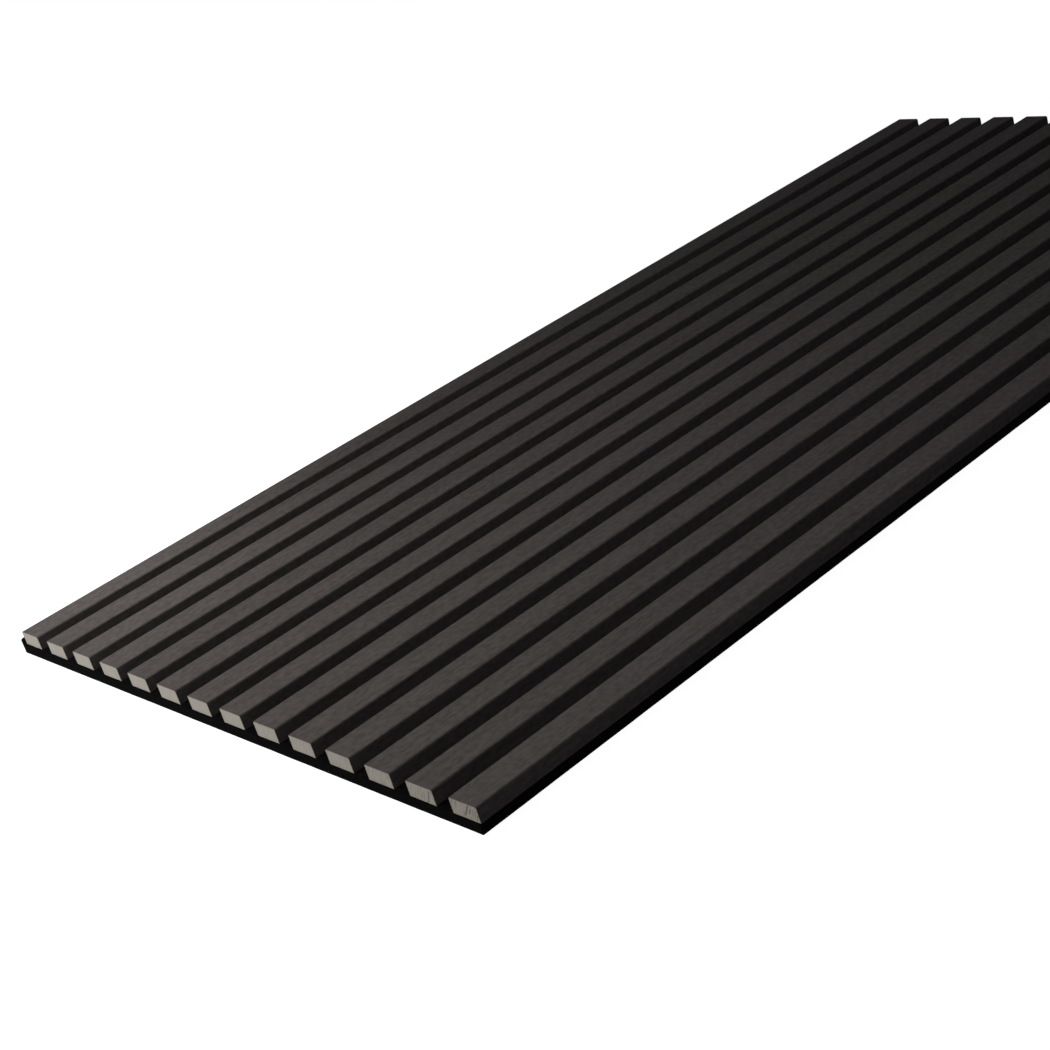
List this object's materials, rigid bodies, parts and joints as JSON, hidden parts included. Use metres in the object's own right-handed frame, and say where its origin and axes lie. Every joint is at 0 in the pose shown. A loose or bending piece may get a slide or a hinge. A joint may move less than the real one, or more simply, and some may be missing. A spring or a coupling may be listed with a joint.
{
  "type": "acoustic slat wall panel",
  "caption": "Dark veneered wooden slats with light bare cut ends, side by side on a black felt sheet, as a flat sound-absorbing wall panel.",
  "frame": {"origin": "middle of the felt's back face, so that the panel's box stands on Z = 0 and is centred on X and Y", "axes": "+X across the slats, away from the edge where the felt shows; +Y along the slats, away from the cut end that the picture shows; +Z out of the wall, from the felt to the slats"},
  "size_m": [0.6, 1.2, 0.021],
  "materials": {
    "felt": "black pressed polyester felt, matt",
    "core": "bare sawn fibreboard, light greige, matt",
    "veneer": "anthracite stained veneer, satin",
    "staple_wire": "galvanised wire"
  },
  "bodies": {
    "root": {"felt_backing": "felt", "slat_core_01": "core", "slat_core_02": "core", "slat_core_03": "core", "slat_core_04": "core", "slat_core_05": "core", "slat_core_06": "core", "slat_core_07": "core", "slat_core_08": "core", "slat_core_09": "core", "slat_core_10": "core", "slat_core_11": "core", "slat_core_12": "core", "slat_core_13": "core", "slat_core_14": "core", "slat_veneer_01": "veneer", "slat_veneer_02": "veneer", "slat_veneer_03": "veneer", "slat_veneer_04": "veneer", "slat_veneer_05": "veneer", "slat_veneer_06": "veneer", "slat_veneer_07": "veneer", "slat_veneer_08": "veneer", "slat_veneer_09": "veneer", "slat_veneer_10": "veneer", "slat_veneer_11": "veneer", "slat_veneer_12": "veneer", "slat_veneer_13": "veneer", "slat_veneer_14": "veneer", "staples": "staple_wire"}
  },
  "joints": []
}
